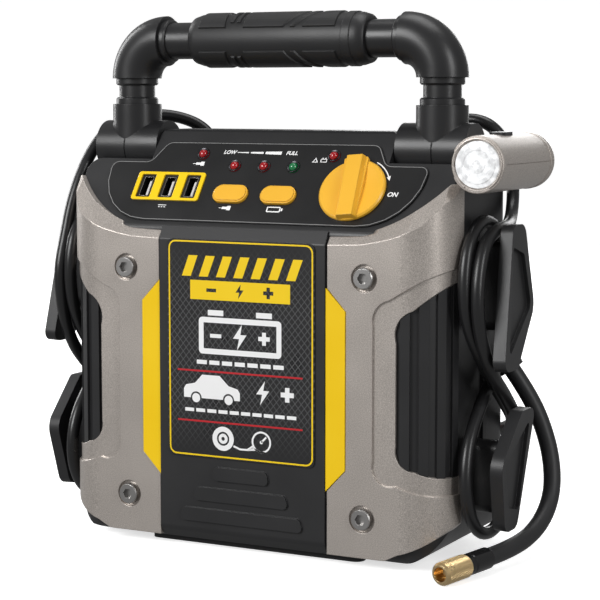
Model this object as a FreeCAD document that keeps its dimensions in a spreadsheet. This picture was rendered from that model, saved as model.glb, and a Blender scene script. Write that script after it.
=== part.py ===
import FreeCAD, Part
import math
import os
import Sketcher

V = FreeCAD.Vector
doc = FreeCAD.newDocument("JumpStarterPack")

# ---------------------------------------------------------------- driving sizes
# Lengths are millimetres, angles degrees. Heights are measured from the surface that
# the pack stands on, depths (y) from the carrying handle's axis, towards the rear.
SIZES = {
    "wall": 3.0, "body_half": 131.0, "body_front": 52.0, "body_rear": 62.0,
    "body_base": 4.0, "body_top": 262.0, "corner_plan": 27.0, "corner_base": 28.0,
    "slope_foot_height": 206.7, "slope_foot_depth": 48.5, "slope_angle": 54.2,
    "top_rear": 24.0, "shoulder_height": 243.0, "shoulder_half": 84.0,
    "seam_depth": 20.0, "rib_proud": 1.7, "rib_wide": 6.0, "rib_low": 44.0, "rib_tall": 140.0,
    "panel_half": 58.0, "panel_front": 57.0, "panel_top": 200.0,
    "label_half": 51.5, "label_low": 59.0, "label_high": 195.5, "label_thick": 0.8,
    "wing_depth": 26.0, "flange_thick": 2.3, "plate_thick": 3.8, "bevel_angle": 52.4,
    "screw_upper_half": 83.4, "screw_upper_height": 176.0,
    "screw_lower_half": 82.4, "screw_lower_height": 30.5,
    "screw_head_dia": 13.0, "screw_head_tall": 5.0, "screw_hex": 6.0, "counterbore_dia": 17.0,
    "screw_shank_dia": 6.0, "screw_shank_long": 12.0,
    "fascia_thick": 1.2, "fascia_low": -1.8, "fascia_tall": 57.5, "fascia_half": 112.0,
    "usb_plate_wide": 49.2, "usb_plate_tall": 21.0, "usb_pitch": 16.5,
    "usb_slot_wide": 10.6, "usb_slot_tall": 17.4, "usb_mouth_wide": 7.0,
    "usb_mouth_tall": 14.6, "usb_centre": -63.5, "usb_rise": 23.2,
    "led_dia": 5.6, "led_hole_dia": 8.4,
    "button_wide": 24.0, "button_tall": 12.6, "button_rise": 18.6,
    "knob_dia": 43.0, "knob_tall": 6.6, "knob_centre": 66.3, "knob_rise": 23.4,
    "tee_dia": 33.6, "tee_height": 250.5, "tee_inner": 84.5, "tee_outer": 131.0,
    "pipe_dia": 23.5, "collar_dia": 32.0, "collar_top": 278.0, "ring_dia": 27.6,
    "riser_half": 109.0, "elbow_radius": 24.0, "elbow_dia": 32.2, "grip_height": 318.7,
    "grip_dia": 35.0, "grip_half": 62.0, "ring_long": 4.5,
    "cleat_thick": 8.0, "cleat_gap": 23.2, "cleat_upper_height": 164.0,
    "cleat_lower_height": 59.0, "cleat_depth": -6.0,
    "lamp_axis_half": 149.5, "lamp_height": 244.0, "lamp_dia": 34.0, "lamp_front": 43.0,
    "lamp_rear": 46.0, "lamp_lens_dia": 28.2,
    "cable_dia": 8.0, "hose_dia": 11.0, "chuck_dia": 13.6, "chuck_long": 24.0,
    "clamp_height": 84.0, "clamp_depth": 74.0, "clamp_wide": 14.0, "clamp_pivot_half": 48.0,
    "gauge_dia": 46.0, "gauge_height": 168.0, "origin_shift": -12.1,
}
sheet = doc.addObject("Spreadsheet::Sheet", "dims")
for row, (word, size) in enumerate(SIZES.items(), start=1):
    sheet.set("A%d" % row, word)
    sheet.set("B%d" % row, str(size))
    sheet.setAlias("B%d" % row, word)
doc.recompute()


def cell(word):
    """A driving size, read back from the sheet."""
    return float(sheet.get(word))


nodes = {}


def node(name, thing, place=None):
    """Name a finished sub-part."""
    thing.Label = name
    if place is not None:
        thing.Placement = place
    nodes[name] = thing
    return thing


# ---------------------------------------------------------------- building blocks
def put(thing, name, value):
    """Set a property, or bind it to the sheet when the value is an expression."""
    if isinstance(value, str):
        thing.setExpression(name, value)
    else:
        setattr(thing, name, value)


def place(x=0.0, y=0.0, z=0.0, axis=(0, 0, 1), degrees=0.0):
    return FreeCAD.Placement(V(x, y, z), FreeCAD.Rotation(V(*axis), degrees))


def rounded(corners):
    """Turn (u, v, radius) corners into an outline with tangent arcs."""
    outline = []
    for index, (u, v, radius) in enumerate(corners):
        if not radius:
            outline.append((u, v))
            continue
        here = V(u, v, 0)
        back = corners[index - 1]
        ahead = corners[(index + 1) % len(corners)]
        before = (V(back[0], back[1], 0) - here).normalize()
        after = (V(ahead[0], ahead[1], 0) - here).normalize()
        half = before.getAngle(after) / 2
        start = here + before * (radius / math.tan(half))
        end = here + after * (radius / math.tan(half))
        centre = here + (before + after).normalize() * (radius / math.sin(half))
        middle = centre + (here - centre).normalize() * radius
        outline.append((start.x, start.y))
        outline.append((middle.x, middle.y, end.x, end.y))
    return outline


def rectangle(wide, tall, radius, u=0.0, v=0.0):
    return rounded([(u - wide / 2, v - tall / 2, radius), (u + wide / 2, v - tall / 2, radius),
                    (u + wide / 2, v + tall / 2, radius), (u - wide / 2, v + tall / 2, radius)])


def hexagon(across):
    reach = across / math.sqrt(3)
    turns = [math.radians(60 * step) for step in range(6)]
    return [(reach * math.cos(angle), reach * math.sin(angle)) for angle in turns]


def draw(sketch, outline):
    """Draw one closed outline: (u, v) is a straight run, (mu, mv, u, v) an arc."""
    if outline[0] == "circle":
        middle = V(outline[1], outline[2], 0)
        sketch.addGeometry(Part.Circle(middle, V(0, 0, 1), outline[3]))
        return
    here = V(outline[0][0], outline[0][1], 0)
    for step in outline[1:] + [outline[0][:2]]:
        there = V(step[-2], step[-1], 0)
        if len(step) == 4:
            sketch.addGeometry(Part.ArcOfCircle(here, V(step[0], step[1], 0), there))
        elif here.distanceToPoint(there) > 1e-4:
            sketch.addGeometry(Part.LineSegment(here, there))
        here = there


def sketch_in(body, label, role, outlines, offset=0.0):
    """A sketch on one of the body's own origin planes."""
    sketch = body.newObject("Sketcher::SketchObject", label + "_sketch")
    plane = [one for one in body.Origin.OriginFeatures if one.Role == role][0]
    sketch.AttachmentSupport = [(plane, "")]
    sketch.MapMode = "FlatFace"
    sketch.AttachmentOffset = place(z=offset)
    for outline in outlines:
        draw(sketch, outline)
    return sketch


def pad(label, role, outlines, length, offset=0.0):
    """A PartDesign body with one pad. XZ_Plane pads run towards the front (-Y)."""
    body = doc.addObject("PartDesign::Body", label)
    feature = body.newObject("PartDesign::Pad", label + "_pad")
    feature.Profile = sketch_in(body, label, role, outlines, offset)
    put(feature, "Length", length)
    body.Tip = feature
    return body


def spin(label, outline, at=None):
    """A PartDesign body turned about its own Z axis from a (radius, height) outline."""
    body = doc.addObject("PartDesign::Body", label)
    feature = body.newObject("PartDesign::Revolution", label + "_turn")
    sketch = sketch_in(body, label, "XZ_Plane", [outline])
    feature.Profile = sketch
    feature.ReferenceAxis = (sketch, ["V_Axis"])
    feature.Angle = 360.0
    body.Tip = feature
    if at is not None:
        body.Placement = at
    return body


def box(label, low, high):
    thing = doc.addObject("Part::Box", label)
    thing.Length, thing.Width, thing.Height = [b - a for a, b in zip(low, high)]
    thing.Placement = place(*low)
    return thing


def rod(label, radius, length, start, direction=(0, 0, 1)):
    """A cylinder from a point along a direction; sizes may be sheet expressions."""
    thing = doc.addObject("Part::Cylinder", label)
    put(thing, "Radius", radius)
    put(thing, "Height", length)
    thing.Placement = FreeCAD.Placement(V(*start), FreeCAD.Rotation(V(0, 0, 1), V(*direction)))
    return thing


def cut(label, base, tools):
    """Base minus one tool or several."""
    thing = doc.addObject("Part::Cut", label)
    thing.Base = base
    thing.Tool = tools[0] if len(tools) == 1 else fuse(label + "_tools", tools)
    return thing


def fuse(label, things):
    thing = doc.addObject("Part::MultiFuse", label)
    thing.Shapes = things
    return thing


def common(label, things):
    thing = doc.addObject("Part::MultiCommon", label)
    thing.Shapes = things
    return thing


def mirrored(label, source):
    """The left-hand twin of a right-hand piece."""
    thing = doc.addObject("Part::Mirroring", label)
    thing.Source = source
    thing.Base = V(0, 0, 0)
    thing.Normal = V(1, 0, 0)
    return thing


# ---------------------------------------------------------------- housing
SLOPE = math.radians(cell("slope_angle"))
SLOPE_UP = V(0, math.cos(SLOPE), math.sin(SLOPE))
SLOPE_OUT = V(0, -math.sin(SLOPE), math.cos(SLOPE))
SLOPE_FOOT = V(0, -cell("slope_foot_depth"), cell("slope_foot_height"))
ON_SLOPE = place(SLOPE_FOOT.x, SLOPE_FOOT.y, SLOPE_FOOT.z, (1, 0, 0), cell("slope_angle"))


def slope_point(depth=None, height=None, grow=0.0):
    """Where the sloping panel, moved out by grow, meets a depth or a height."""
    foot = SLOPE_FOOT + SLOPE_OUT * grow
    if height is None:
        reach = (depth - foot.y) / SLOPE_UP.y
    else:
        reach = (height - foot.z) / SLOPE_UP.z
    return foot + SLOPE_UP * reach


def hull(label, grow):
    """The housing's outer form moved out by grow: side, front and plan outlines crossed."""
    front = -(cell("body_front") + grow)
    rear = cell("body_rear") + grow
    low = cell("body_base") - grow
    top = cell("body_top") + grow
    half = cell("body_half") + grow
    foot = slope_point(depth=front, grow=grow)
    brow = slope_point(height=top, grow=grow)
    rear_brow = cell("top_rear") + 0.5 * grow
    rear_foot = top - (rear - rear_brow) * SLOPE_UP.z / SLOPE_UP.y
    side = rounded([(front, low, 7), (rear, low, 7), (rear, rear_foot, 12), (rear_brow, top, 8),
                    (brow.y, brow.z, 4), (front, foot.z, 5)])
    shoulder = cell("shoulder_height") + grow
    inner = cell("shoulder_half") + grow
    around = cell("corner_base") + grow
    face = rounded([(-half, low, around), (half, low, around), (half, shoulder, 9),
                    (inner, shoulder, 0), (inner, top, 5), (-inner, top, 5),
                    (-inner, shoulder, 0), (-half, shoulder, 9)])
    bend = cell("corner_plan") + grow
    plan = rounded([(-half, front, bend), (half, front, bend), (half, rear, 20 + grow),
                    (-half, rear, 20 + grow)])
    reach = 2 * half + 20
    return common(label, [
        pad(label + "_side", "YZ_Plane", [side], reach, -reach / 2),
        pad(label + "_face", "XZ_Plane", [face], reach, -reach / 2),
        pad(label + "_plan", "XY_Plane", [plan], top + 20, low - 5),
    ])


def on_slope(label, outlines, low, high):
    """A pad on the sloping panel between two heights above its surface."""
    piece = pad(label, "XY_Plane", outlines, high - low, low)
    piece.Placement = ON_SLOPE
    return piece


outer = hull("outer_form", 0.0)
inner = hull("inner_form", -cell("wall"))
flange_form = hull("flange_form", cell("flange_thick"))
plate_form = hull("plate_form", cell("plate_thick"))

LEDS = {"led_usb": (-46.3, 48.4), "led_low": (-20.8, 39.8), "led_mid": (0.0, 39.8),
        "led_full": (20.8, 39.8), "led_reverse": (46.3, 48.4)}
BUTTONS = {"usb_button": -16.8, "battery_button": 16.8}


def panel_holes(label, low, high, slack):
    """Everything that comes through the sloping panel, as one cutter."""
    led_hole = cell("led_hole_dia") / 2
    outlines = [("circle", u, v, led_hole) for u, v in LEDS.values()]
    for middle in BUTTONS.values():
        wide = cell("button_wide") + 2 * slack
        tall = cell("button_tall") + 2 * slack
        outlines.append(rectangle(wide, tall, tall / 2 - 0.2, middle, cell("button_rise")))
    outlines.append(("circle", cell("knob_centre"), cell("knob_rise"), 5.3))
    wide = cell("usb_plate_wide") - 3
    tall = cell("usb_plate_tall") - 3
    outlines.append(rectangle(wide, tall, 1.5, cell("usb_centre"), cell("usb_rise")))
    return on_slope(label, outlines, low, high)


def tee_seats(label):
    """The round saddles in the shoulders that the handle's tees lie in."""
    seats = []
    for side in (-1, 1):
        start = (side * (cell("tee_inner") - 0.5), 0, cell("tee_height"))
        seats.append(rod("%s_%d" % (label, side), cell("tee_dia") / 2 + 0.1, 60, start, (side, 0, 0)))
    return fuse(label, seats)


def corner_ribs():
    """Upright ribs round each front corner and along the flanks."""
    bend = cell("corner_plan")
    centre = V(cell("body_half") - bend, -cell("body_front") + bend, 0)
    spots = []
    for angle in (10, 33, 56, 79):
        turned = math.radians(angle)
        spots.append((centre + V(math.sin(turned), -math.cos(turned), 0) * bend, 90 - angle))
    spots += [(V(cell("body_half"), depth, 0), 0) for depth in (15,)]
    ribs = []
    for side in (-1, 1):
        for index, (spot, angle) in enumerate(spots):
            rib = doc.addObject("Part::Box", "rib_%d_%d" % (side, index))
            rib.Length = cell("rib_proud") + 2
            put(rib, "Width", "dims.rib_wide")
            put(rib, "Height", "dims.rib_tall")
            turned = FreeCAD.Rotation(V(0, 0, 1), -angle if side > 0 else 180 + angle)
            corner = turned.multVec(V(-2, -cell("rib_wide") / 2, 0))
            base = V(side * spot.x, spot.y, cell("rib_low")) + corner
            rib.Placement = FreeCAD.Placement(base, turned)
            ribs.append(rib)
    return ribs


def gland(label, route, radius, length, side):
    """A boss round the start of a cord, pointing along its first run."""
    start = V(side * route[0][0], route[0][1], route[0][2])
    lead = (V(side * route[1][0], route[1][1], route[1][2]) - start).normalize()
    return rod(label, radius, length, tuple(start - lead * length), tuple(lead))


def shells():
    """The two halves of the housing, hollow, joined on an upright seam."""
    skin = cut("skin", outer, [inner])
    seam = cell("seam_depth")
    front_half = box("front_half", (-200, -100, -10), (200, seam, 300))
    rear_half = box("rear_half", (-200, seam, -10), (200, 150, 300))
    front_skin = common("front_skin", [skin, front_half])
    ribbed = fuse("ribbed_front", [front_skin] + corner_ribs())
    holes = panel_holes("front_holes", -8, 4, 0.3)
    spare = box("seam_trim", (-200, seam, -10), (200, 150, 300))
    tools = [holes, tee_seats("front_seats"), spare, nodes["right_bracket"],
             nodes["left_bracket"]] + screw_bores("shell_bore")
    node("front_shell", cut("front_shell", ribbed, tools))
    rear_skin = common("rear_skin", [skin, rear_half])
    rear = cell("body_rear")
    tabs = [box("tab_%d" % side, (min(side * 8, side * 22), rear, cell("clamp_height") - 2.4),
                (max(side * 8, side * 22), rear + 20, cell("clamp_height") + 2.4))
            for side in (-1, 1)]
    glands = [gland("cable_gland_%d" % side, HEADS[hand], 6.5, 12, side)
              for hand, side in (("left", -1), ("right", 1))]
    hose_gland = gland("hose_gland", HOSE_ROUTE, 8.5, 15, 1)
    ears = [box("cap_ear_%d" % low, (low, rear, 177.4), (low + 3.1, rear + 5.4, 182.6))
            for low in (45, 60)]
    fittings = fuse("fittings", tabs + glands + ears + [hose_gland])
    node("rear_fittings", cut("rear_fittings", fittings, [outer]))
    gauge_hole = rod("gauge_hole", cell("gauge_dia") / 2 - 2, 20,
                     (0, rear - 10, cell("gauge_height")), (0, 1, 0))
    switch_hole = box("switch_hole", (-62, rear - 10, 146), (-46, rear + 10, 172))
    outlet_hole = rod("outlet_hole", 12.6, 20, (54, rear - 10, 158), (0, 1, 0))
    vents = [box("vent_%d" % step, (-60, rear - 10, 26 + 7 * step), (60, rear + 10, 29 + 7 * step))
             for step in range(4)]
    node("rear_shell",
         cut("rear_shell", rear_skin, [gauge_hole, switch_hole, outlet_hole] + vents))


# ---------------------------------------------------------------- front trim
def centre_panel():
    """The black centre panel with its sloping brow and three raised wear ribs."""
    half = cell("panel_half")
    face = cell("panel_front")
    back = cell("body_front")
    low = cell("body_base") + 2
    top = cell("panel_top")
    side = rounded([(-back, low, 0), (-back, top + 3, 0), (-back - 0.5, top + 3, 0),
                    (-face, top - 5, 2), (-face, low + 6, 6), (-back - 1, low, 0)])
    slab = pad("panel_slab", "YZ_Plane", [side], 2 * half, -half)
    ribs = []
    for index, (middle, half_top, half_base) in enumerate([(51.5, 18.5, 20), (38, 31, 34),
                                                           (24.5, 41, 44)]):
        tall = 6.5
        outline = rounded([(-half_base, middle - tall, 3), (half_base, middle - tall, 3),
                           (half_top, middle + tall / 3, 3), (-half_top, middle + tall / 3, 3)])
        ribs.append(pad("wear_rib_%d" % index, "XZ_Plane", [outline], 1.6, face - 0.2))
    node("center_panel", fuse("center_panel", [slab] + ribs))
    tall = cell("label_high") - cell("label_low")
    outline = rectangle(2 * cell("label_half"), tall, 4, 0, cell("label_low") + tall / 2)
    node("label_plate", pad("label_plate", "XZ_Plane", [outline], "dims.label_thick", face))


PLATE_TOP = [(59, 200.8), (80, 202.4), (106.5, 212.6, 129.8, 231.7), (136, 231.7)]
ACCENT = [(59, 45.6), (71.5, 59.2), (71.5, 155.4), (59, 169.0)]


def bracket():
    """The right metal bracket: a thin flange with a raised plate over it."""
    waist = [(144, 184), (134, 175, 124, 166.5), (113.5, 157.5), (104.5, 150, 103.5, 138),
             (103.5, 76), (105.5, 66.5, 115, 61.2), (124, 57.8, 144, 57.6)]
    base = [(144, 41), (130, 23.6, 106, 11), (97, 6.5), (59, 6.5)]
    flange_outline = PLATE_TOP[:-1] + [(144, 231.7)] + waist + base + ACCENT
    crease = [(144, 187), (119.5, 175.5), (99.5, 163.5), (91, 158, 89, 148), (89, 66),
              (91, 56, 104, 52.5), (122, 47.2, 144, 46.4)]
    plate_outline = PLATE_TOP[:-1] + [(144, 231.7)] + crease + base + ACCENT
    wing = cell("wing_depth")
    flange = common("flange", [pad("flange_pad", "XZ_Plane", [flange_outline], 40, wing),
                               flange_form])
    plate = common("plate", [pad("plate_pad", "XZ_Plane", [plate_outline], 40, wing), plate_form])
    both = fuse("bracket_solid", [flange, plate])
    tools = [outer]
    for half, height in screw_spots():
        tools.append(rod("counterbore_%d" % height, "dims.counterbore_dia / 2", 20,
                         (half, -cell("body_front") - 1.2, height), (0, -1, 0)))
    tools += screw_bores("bracket_bore")[:2]
    right = cut("right_bracket_solid", both, tools)
    node("right_bracket", cut("right_bracket", right, [bevel_tool()]))
    node("left_bracket", mirrored("left_bracket", nodes["right_bracket"]))


def screw_spots():
    return [(cell("screw_upper_half"), cell("screw_upper_height")),
            (cell("screw_lower_half"), cell("screw_lower_height"))]


def screw_bores(label):
    """Clearance bores for the four bracket screws, the right-hand pair first."""
    bores = []
    for side in (1, -1):
        for half, height in screw_spots():
            bores.append(rod("%s_%d_%d" % (label, side, height), "dims.screw_shank_dia / 2 + 0.1",
                             14, (side * half, -cell("body_front") + 6, height), (0, -1, 0)))
    return bores


def bevel_tool():
    """Bevels the bracket along its curved top edge, climbing towards the rear."""
    angle = cell("bevel_angle")
    face = cell("body_front") + cell("plate_thick")
    base = 195.0
    crease = [(50, 194.6), (80, 195.8), (96, 198.8, 110, 203), (122, 205.6, 129, 204.4),
              (134, 197), (150, 185), (150, 300), (50, 300)]
    share = math.cos(math.radians(angle))
    outline = [tuple((number - base) * share if spot % 2 else number
                     for spot, number in enumerate(point)) for point in crease]
    piece = pad("bevel_tool", "XY_Plane", [outline], 90, -70)
    piece.Placement = place(0, -face, base, (1, 0, 0), 90 + angle)
    return piece


def screws():
    """Four socket-head screws with a hexagonal socket, in the brackets."""
    front = cell("body_front")
    for rank, (half, height) in zip(("upper", "lower"), screw_spots()):
        for word, side in (("right", 1), ("left", -1)):
            label = "bracket_screw_%s_%s" % (rank, word)
            radius = cell("screw_head_dia") / 2
            tall = cell("screw_head_tall")
            shank = cell("screw_shank_dia") / 2
            solid = spin(label + "_turned", [(0, -cell("screw_shank_long")),
                                             (shank, -cell("screw_shank_long")), (shank, 0),
                                             (radius, 0), (radius, tall - 0.6),
                                             (radius - 0.6, tall), (0, tall)])
            socket = pad(label + "_socket", "XY_Plane", [hexagon(cell("screw_hex"))], 4, tall - 3)
            piece = cut(label, solid, [socket])
            node(label, piece, place(side * half, -front - 1.2, height, (1, 0, 0), 90))


def accents():
    """The yellow inlays between the centre panel and the brackets."""
    outline = [(ACCENT[0][0] - 0.8, ACCENT[0][1] - 0.2), (ACCENT[1][0] - 0.3, ACCENT[1][1] - 0.2),
               (ACCENT[2][0] - 0.3, ACCENT[2][1] + 0.2), (ACCENT[3][0] - 0.8, ACCENT[3][1] + 0.2)]
    piece = pad("right_accent", "XZ_Plane", [outline], 4.4, cell("body_front"))
    node("right_accent", piece)
    node("left_accent", mirrored("left_accent", piece))


# ---------------------------------------------------------------- control panel
def fascia():
    """The printed control panel, in one piece with all its openings."""
    tall = cell("fascia_tall")
    wide = cell("fascia_half")
    low = cell("fascia_low")
    corner = [(-wide, low, 38), (wide, low, 38), (wide, 42.3, 5.5), (83.5, 42.3, 6),
              (75, tall, 7), (-75, tall, 7), (-83.5, 42.3, 6), (-wide, 42.3, 5.5)]
    plate = on_slope("fascia_plate", [rounded(corner)], 0, cell("fascia_thick"))
    node("control_fascia", cut("control_fascia", plate, [panel_holes("fascia_holes", -4, 4, 0.3)]))


def usb_group():
    """The yellow bezel and the block of three USB sockets behind it."""
    middle, rise, pitch = cell("usb_centre"), cell("usb_rise"), cell("usb_pitch")
    wide, tall = cell("usb_slot_wide"), cell("usb_slot_tall")
    outline = rectangle(cell("usb_plate_wide"), cell("usb_plate_tall"), 1.8, middle, rise)
    slots = [rectangle(wide, tall, 1.0, middle + pitch * step, rise) for step in (-1, 0, 1)]
    top = cell("fascia_thick")
    node("usb_bezel", on_slope("usb_bezel", [outline] + slots, top, top + 1.0))
    block = on_slope("usb_block", [rectangle(2 * pitch + wide + 1.4, tall + 0.4, 1.0, middle, rise)],
                     -14, top)
    mouth = cell("usb_mouth_tall")
    mouths = [rectangle(cell("usb_mouth_wide"), mouth, 0.6, middle + pitch * step, rise)
              for step in (-1, 0, 1)]
    hollow = on_slope("usb_mouths", mouths, -11, top + 1)
    tongues = [rectangle(2.0, mouth - 2.8, 0.3, middle + pitch * step + 1.4, rise)
               for step in (-1, 0, 1)]
    tongue = on_slope("usb_tongues", tongues, -12, top - 1.5)
    body = cut("usb_shell", block, [hollow])
    node("usb_ports", fuse("usb_ports", [body, tongue]))


def lights_and_buttons():
    top = cell("fascia_thick")
    for name, (u, v) in LEDS.items():
        radius = cell("led_dia") / 2
        rim = cell("led_hole_dia") / 2 - 0.1
        outline = [(0, -6), (rim, -6), (rim, top + 0.4), (radius, top + 0.4),
                   (0.76 * radius, top + 1.9, 0.25 * radius, top + 2.7), (0, top + 2.7)]
        at = SLOPE_FOOT + SLOPE_UP * v + V(u, 0, 0)
        node(name, spin(name, outline, place(at.x, at.y, at.z, (1, 0, 0), cell("slope_angle"))))
    for name, middle in BUTTONS.items():
        tall = cell("button_tall")
        radius = tall / 2 - 0.2
        cap = rectangle(cell("button_wide"), tall, radius, middle, cell("button_rise"))
        crown = rectangle(cell("button_wide") - 2, tall - 2, radius - 1, middle,
                          cell("button_rise"))
        base = on_slope(name + "_cap", [cap], -5.0, top + 1.6)
        dome = on_slope(name + "_crown", [crown], -4.0, top + 2.3)
        node(name, fuse(name, [base, dome]))


def knob():
    """The selector knob: a disc with a grip bar, its pointer and a shaft."""
    radius = cell("knob_dia") / 2
    tall = cell("knob_tall")
    rise = cell("fascia_thick") + 0.3
    disc = spin("knob_disc", [(0, -12), (4.8, -12), (4.8, 0), (radius, 0), (radius, 1.6),
                              (radius - 1.0, 2.6), (radius - 3.2, 2.6), (9, 1.4), (0, 1.4)])
    half = 6.4
    grip = pad("knob_grip", "XY_Plane",
               [rounded([(-half, 0.6 - radius, 1.2), (half, 0.6 - radius, 1.2),
                         (half + 1.5, radius + 0.7, 1.2), (-half - 1.5, radius + 0.7, 1.2)])],
               tall - 0.6, 0.6)
    flanks = [pad("knob_flank_%d" % side, "XZ_Plane",
                  [[(side * half, 3.4), (side * (half + 4), 3.4), (side * (half + 4), tall + 1),
                    (side * (half - 1.9), tall + 1)]], 80, -40) for side in (-1, 1)]
    piece = fuse("power_knob", [disc, cut("knob_bar", grip, flanks)])
    at = SLOPE_FOOT + SLOPE_UP * cell("knob_rise") + V(cell("knob_centre"), 0, 0)
    lean = FreeCAD.Rotation(V(1, 0, 0), cell("slope_angle"))
    turned = FreeCAD.Rotation(V(0, 0, 1), 6)
    node("power_knob", piece, FreeCAD.Placement(at + SLOPE_OUT * rise, lean.multiply(turned)))


# ---------------------------------------------------------------- carrying handle
def handle():
    """Pipe-fitting handle: tees, risers, elbows, a crossbar and its grip."""
    pipe = cell("pipe_dia") / 2
    ring = cell("ring_dia") / 2
    collar = cell("collar_dia") / 2
    half = cell("riser_half")
    bend = cell("elbow_radius")
    high = cell("grip_height")
    tee_radius = cell("tee_dia") / 2
    start = (cell("tee_inner"), 0, cell("tee_height"))
    long = cell("tee_outer") - cell("tee_inner")
    tube = rod("tee_tube", tee_radius, long, start, (1, 0, 0))
    neck = rod("tee_neck", collar, cell("collar_top") - cell("tee_height"),
               (half, 0, cell("tee_height")))
    tee_groove = cut("tee_groove", rod("groove_outer", tee_radius + 1, 0.8,
                                       (half - 0.4, 0, cell("tee_height")), (1, 0, 0)),
                     [rod("groove_inner", tee_radius - 0.6, 4,
                          (half - 2, 0, cell("tee_height")), (1, 0, 0))])
    grooved = cut("tee_tube_grooved", tube, [tee_groove])
    bore = rod("tee_bore", pipe, 30, (half, 0, cell("collar_top") - 12))
    body = fuse("tee_solid", [grooved, neck])
    right = node("handle_tee_right", cut("handle_tee_right", body, [bore]))
    node("handle_tee_left", mirrored("handle_tee_left", right))
    low = cell("collar_top") - 12
    top = high - bend
    step = cell("ring_long")
    outline = [(0, low), (pipe, low), (pipe, low + 12), (ring, low + 12), (ring, low + 12 + step - 1),
               (ring - 1, low + 12 + step), (pipe, low + 12 + step), (pipe, top - step),
               (ring - 1, top - step), (ring, top - step + 1), (ring, top), (0, top)]
    riser = spin("handle_riser_right", outline, place(half, 0, 0))
    node("handle_riser_right", riser)
    node("handle_riser_left", mirrored("handle_riser_left", riser))
    elbow = doc.addObject("Part::Torus", "elbow_torus")
    put(elbow, "Radius1", "dims.elbow_radius")
    put(elbow, "Radius2", "dims.elbow_dia / 2")
    elbow.Angle3 = 90
    elbow.Placement = place(half - bend, 0, high - bend, (1, 0, 0), 90)
    node("handle_elbow_right", elbow)
    node("handle_elbow_left", mirrored("handle_elbow_left", elbow))
    end = half - bend
    outline = [(0, -end), (ring, -end), (ring, -end + step - 1), (ring - 1, -end + step),
               (pipe, -end + step), (pipe, end - step), (ring - 1, end - step),
               (ring, end - step + 1), (ring, end), (0, end)]
    node("handle_crossbar", spin("handle_crossbar", outline, place(0, 0, high, (0, 1, 0), 90)))
    grip = cell("grip_dia") / 2
    reach = cell("grip_half")
    pads = grip - 0.9
    outline = [(pipe, -reach), (grip - 3.2, -reach), (pads, -reach + 6), (pads, reach - 6),
               (grip - 3.2, reach), (pipe, reach)]
    sleeve = spin("grip_sleeve", outline)
    blocks = grip_pads(grip, pads)
    node("hand_grip", fuse("hand_grip", [sleeve, blocks]), place(0, 0, high, (0, 1, 0), 90))


def grip_pads(grip, base):
    """Raised pads in rows along the grip's top and underside, with rings near each end."""
    ring = spin("pad_tube", [(base - 1, -54), (grip - 0.3, -54), (grip, -53.4), (grip, 53.4),
                             (grip - 0.3, 54), (base - 1, 54)])
    spans = [(-54, -34), (-31, -27.5), (-24, 24), (27.5, 31), (34, 54)]
    bands = []
    for index, (low, high) in enumerate(spans):
        wide = 15.5 if high - low > 5 else 20
        outline = [(low, -wide), (high, -wide), (high, wide), (low, wide)]
        flat = [(v, u) for u, v in outline]
        bands.append(pad("pad_band_%d" % index, "YZ_Plane", [flat], 60, -30))
    rows = fuse("pad_rows", bands)
    kept = common("pads_kept", [ring, rows])
    belt = box("pad_belt", (-7.5, -30, -60), (7.5, 30, 60))
    return cut("grip_pads", kept, [belt])


# ---------------------------------------------------------------- cable cleats
def cleat(name, height, tall, flip):
    """A cleat: a leaning shield-shaped plate with a dished face, on a stem."""
    grow = tall / 86.0
    side = [(-5.5, 43 * grow, 7), (14, 43 * grow, 8), (25.5, -8 * grow, 13),
            (-4.5, -43 * grow, 5), (-26.5, -43 * grow, 6)]
    dish = [(-6.5, 30 * grow, 2), (11, 25 * grow, 4), (20, -7 * grow, 6), (-18, -35 * grow, 2)]
    thick = cell("cleat_thick")
    plate = pad(name + "_plate", "YZ_Plane", [rounded(side)], thick)
    hollow = pad(name + "_dish", "YZ_Plane", [rounded(dish)], 4, thick - 2.6)
    shield = cut(name + "_shield", plate, [hollow])
    lean = place(cell("body_half") + cell("cleat_gap"), cell("cleat_depth"), 0, (0, 1, 0), -2.4)
    shield.Placement = lean
    stem = pad(name + "_stem", "YZ_Plane", [rectangle(14, 0.62 * tall, 6, 0, 6 * grow)],
               cell("cleat_gap") + 3, 0)
    stem.Placement = place(cell("body_half"), cell("cleat_depth"), 0)
    whole = fuse(name + "_whole", [shield, stem])
    if flip:
        swing = FreeCAD.Rotation(V(1, 0, 0), 180)
        settle = V(0, 2 * cell("cleat_depth"), height)
        node(name, whole, FreeCAD.Placement(settle, swing))
    else:
        node(name, whole, place(0, 0, height))
    left = name.replace("right", "left")
    node(left, mirrored(left, whole))


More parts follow.
